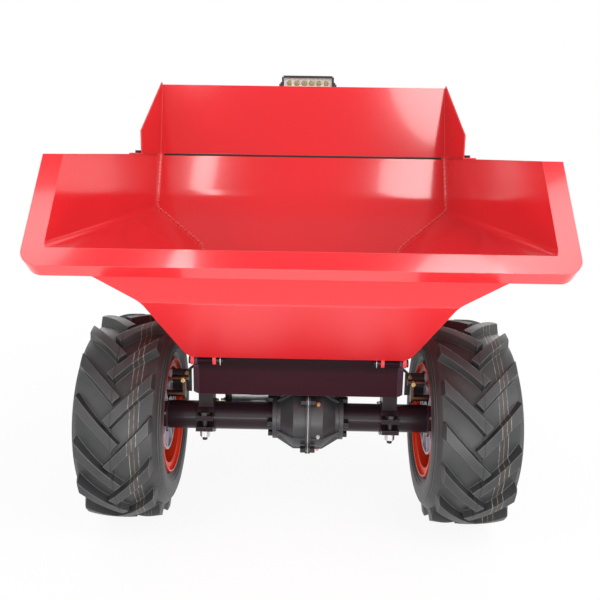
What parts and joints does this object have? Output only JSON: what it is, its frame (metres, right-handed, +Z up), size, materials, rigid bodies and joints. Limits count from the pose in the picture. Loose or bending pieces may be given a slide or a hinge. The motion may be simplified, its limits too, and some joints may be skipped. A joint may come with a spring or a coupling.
{
  "type": "electric power barrow",
  "caption": "Battery-driven tipping barrow with a folded sheet skip, headboard, chevron-lug drive tyres, cast differential, drum brakes, handlebar controls and rear castors.",
  "frame": {"origin": "on the ground, under the middle of the overall box", "axes": "+X to the right seen from the front, +Y to the rear along the handles, +Z up"},
  "size_m": [0.83, 1.5198, 0.967],
  "materials": {
    "red_paint": "gloss powder coat",
    "rim_paint": "gloss paint",
    "black_paint": "semi-gloss powder coat",
    "black_bolt": "black oxide",
    "zinc": "zinc plate",
    "yellow_zinc": "yellow zinc plate",
    "bright_steel": "ground",
    "cast": "dark sand-cast",
    "brass": "machined",
    "alloy": "die-cast",
    "tyre": "moulded",
    "rubber": "matt",
    "cable": "smooth sheath",
    "battery_case": "moulded",
    "black_plastic": "moulded",
    "lens": "clear moulded"
  },
  "bodies": {
    "chassis": {"main_frame": "black_paint", "front_beam": "black_paint", "axle_tubes": "black_paint", "axle_clamps": "black_paint", "clamp_bolts": "zinc", "diff_case_left": "cast", "diff_case_right": "cast", "diff_bolts": "black_bolt", "oil_plugs": "brass", "gear_housing": "cast", "drive_motor": "alloy", "motor_end_cap": "black_plastic", "brake_backplates": "bright_steel", "brake_shoes": "bright_steel", "axle_bearings": "bright_steel", "brake_cable_left": "cable", "brake_cable_right": "cable", "battery_tray": "black_paint", "batteries": "battery_case", "motor_controller": "alloy", "handlebar": "black_paint", "grip_left": "rubber", "lever_perches": "alloy", "control_console": "black_plastic", "lamp_bracket": "black_paint", "castor_plates": "black_paint", "rest_pads": "rubber"},
    "skip": {"skip_tub": "red_paint", "skip_shield": "red_paint", "shield_bolts": "black_bolt", "hinge_lugs": "red_paint", "hinge_pins": "black_bolt", "hinge_clips": "zinc", "latch_striker": "red_paint"},
    "wheel_left": {"tyre_left": "tyre", "rim_left": "rim_paint", "drum_left": "cast", "wheel_nuts_left": "zinc", "half_shaft_left": "bright_steel"},
    "wheel_right": {"tyre_right": "tyre", "rim_right": "rim_paint", "drum_right": "cast", "wheel_nuts_right": "zinc", "half_shaft_right": "bright_steel"},
    "swivel_left": {"castor_fork_left": "black_paint"},
    "swivel_right": {"castor_fork_right": "black_paint"},
    "castor_left": {"castor_tyre_left": "tyre", "castor_hub_left": "black_plastic"},
    "castor_right": {"castor_tyre_right": "tyre", "castor_hub_right": "black_plastic"},
    "latch": {"latch_hook": "black_paint"},
    "lid": {"battery_lid": "black_paint"},
    "lever": {"brake_lever": "alloy"},
    "arm_left": {"brake_arm_left": "yellow_zinc"},
    "arm_right": {"brake_arm_right": "yellow_zinc"},
    "throttle": {"throttle_grip": "rubber"},
    "key": {"key_switch": "zinc"},
    "direction": {"direction_switch": "black_plastic"},
    "lamp": {"lamp_head": "alloy", "lamp_lens": "lens"}
  },
  "joints": [
    {"name": "skip_tip", "type": "hinge", "parent": "chassis", "child": "skip", "pos_m": [0, -0.48613, 0.3425], "axis": [1, 0, 0], "range_deg": [0, 75]},
    {"name": "wheel_left_spin", "type": "hinge", "parent": "chassis", "child": "wheel_left", "pos_m": [-0.331, -0.42013, 0.205], "axis": [1, 0, 0], "continuous": true},
    {"name": "wheel_right_spin", "type": "hinge", "parent": "chassis", "child": "wheel_right", "pos_m": [0.331, -0.42013, 0.205], "axis": [1, 0, 0], "continuous": true},
    {"name": "castor_left_swivel", "type": "hinge", "parent": "chassis", "child": "swivel_left", "pos_m": [-0.185, 0.26987, 0.24], "axis": [0, 0, 1], "continuous": true},
    {"name": "castor_right_swivel", "type": "hinge", "parent": "chassis", "child": "swivel_right", "pos_m": [0.185, 0.26987, 0.24], "axis": [0, 0, 1], "continuous": true},
    {"name": "castor_left_spin", "type": "hinge", "parent": "swivel_left", "child": "castor_left", "pos_m": [-0.185, 0.32487, 0.11], "axis": [1, 0, 0], "continuous": true},
    {"name": "castor_right_spin", "type": "hinge", "parent": "swivel_right", "child": "castor_right", "pos_m": [0.185, 0.32487, 0.11], "axis": [1, 0, 0], "continuous": true},
    {"name": "brake_lever", "type": "hinge", "parent": "chassis", "child": "lever", "pos_m": [-0.255, 0.61487, 0.867], "axis": [1, 0, 0], "range_deg": [0, 13], "stiffness_Nm_per_rad": 3},
    {"name": "brake_arm_left", "type": "hinge", "parent": "chassis", "child": "arm_left", "pos_m": [-0.257, -0.42013, 0.25], "axis": [-1, 0, 0], "range_deg": [0, 10.4]},
    {"name": "brake_arm_right", "type": "hinge", "parent": "chassis", "child": "arm_right", "pos_m": [0.257, -0.42013, 0.25], "axis": [-1, 0, 0], "range_deg": [0, 10.4]},
    {"name": "throttle", "type": "hinge", "parent": "chassis", "child": "throttle", "pos_m": [0.255, 0.69487, 0.9], "axis": [0, 1, 0], "range_deg": [0, 60], "stiffness_Nm_per_rad": 0.6},
    {"name": "key_turn", "type": "hinge", "parent": "chassis", "child": "key", "pos_m": [-0.06, 0.53487, 0.865], "axis": [0, 0.6084, 0.7936], "range_deg": [0, 90]},
    {"name": "direction_rock", "type": "hinge", "parent": "chassis", "child": "direction", "pos_m": [0.045, 0.53487, 0.865], "axis": [1, 0, 0], "range_deg": [-12, 12]},
    {"name": "lamp_tilt", "type": "hinge", "parent": "chassis", "child": "lamp", "pos_m": [0.013, 0.47387, 0.936], "axis": [1, 0, 0], "range_deg": [-25, 40]},
    {"name": "battery_lid", "type": "hinge", "parent": "chassis", "child": "lid", "pos_m": [0, 0.39147, 0.511], "axis": [-1, 0, 0], "range_deg": [0, 75]},
    {"name": "skip_latch", "type": "hinge", "parent": "chassis", "child": "latch", "pos_m": [0, 0.04987, 0.341], "axis": [1, 0, 0], "range_deg": [0, 14]}
  ],
  "couplings": [
    {"joint": "brake_arm_left", "follows": "brake_lever", "ratio": 0.8},
    {"joint": "brake_arm_right", "follows": "brake_lever", "ratio": 0.8}
  ]
}
